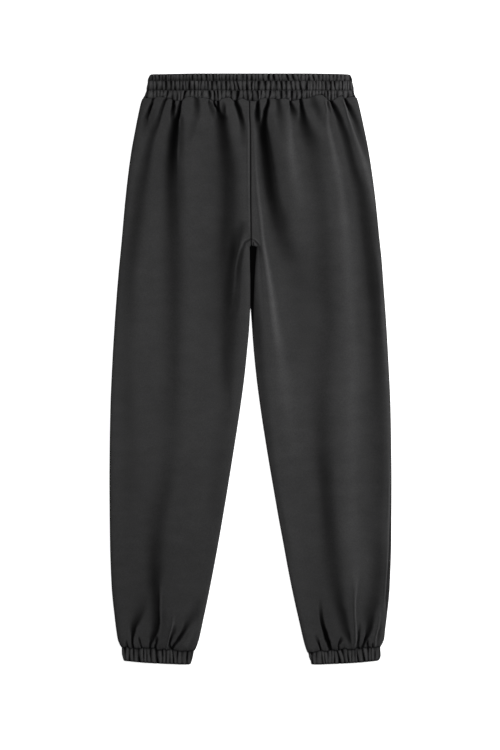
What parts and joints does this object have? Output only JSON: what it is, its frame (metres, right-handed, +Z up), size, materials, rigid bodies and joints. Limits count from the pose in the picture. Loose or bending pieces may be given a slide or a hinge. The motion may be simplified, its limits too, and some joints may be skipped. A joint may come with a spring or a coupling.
{
  "type": "jogger sweatpants",
  "caption": "Flat-laid jogger sweatpants in charcoal brushed fleece, with a stitched, gathered elastic waistband and gathered elastic ankle cuffs.",
  "frame": {"origin": "middle of the garment's outline, on the surface that it lies on", "axes": "+Y towards the waist, +Z up out of the front, +X towards the wearer's left leg"},
  "size_m": [0.4856, 1.02, 0.0138],
  "materials": {
    "fleece": "brushed, matt, charcoal",
    "casing": "the same cloth, doubled and gathered over elastic",
    "thread": "charcoal sewing thread"
  },
  "bodies": {
    "root": {"front_right": "fleece", "front_left": "fleece", "back_right": "fleece", "back_left": "fleece", "waistband": "casing", "cuff_right": "casing", "cuff_left": "casing"}
  },
  "joints": []
}
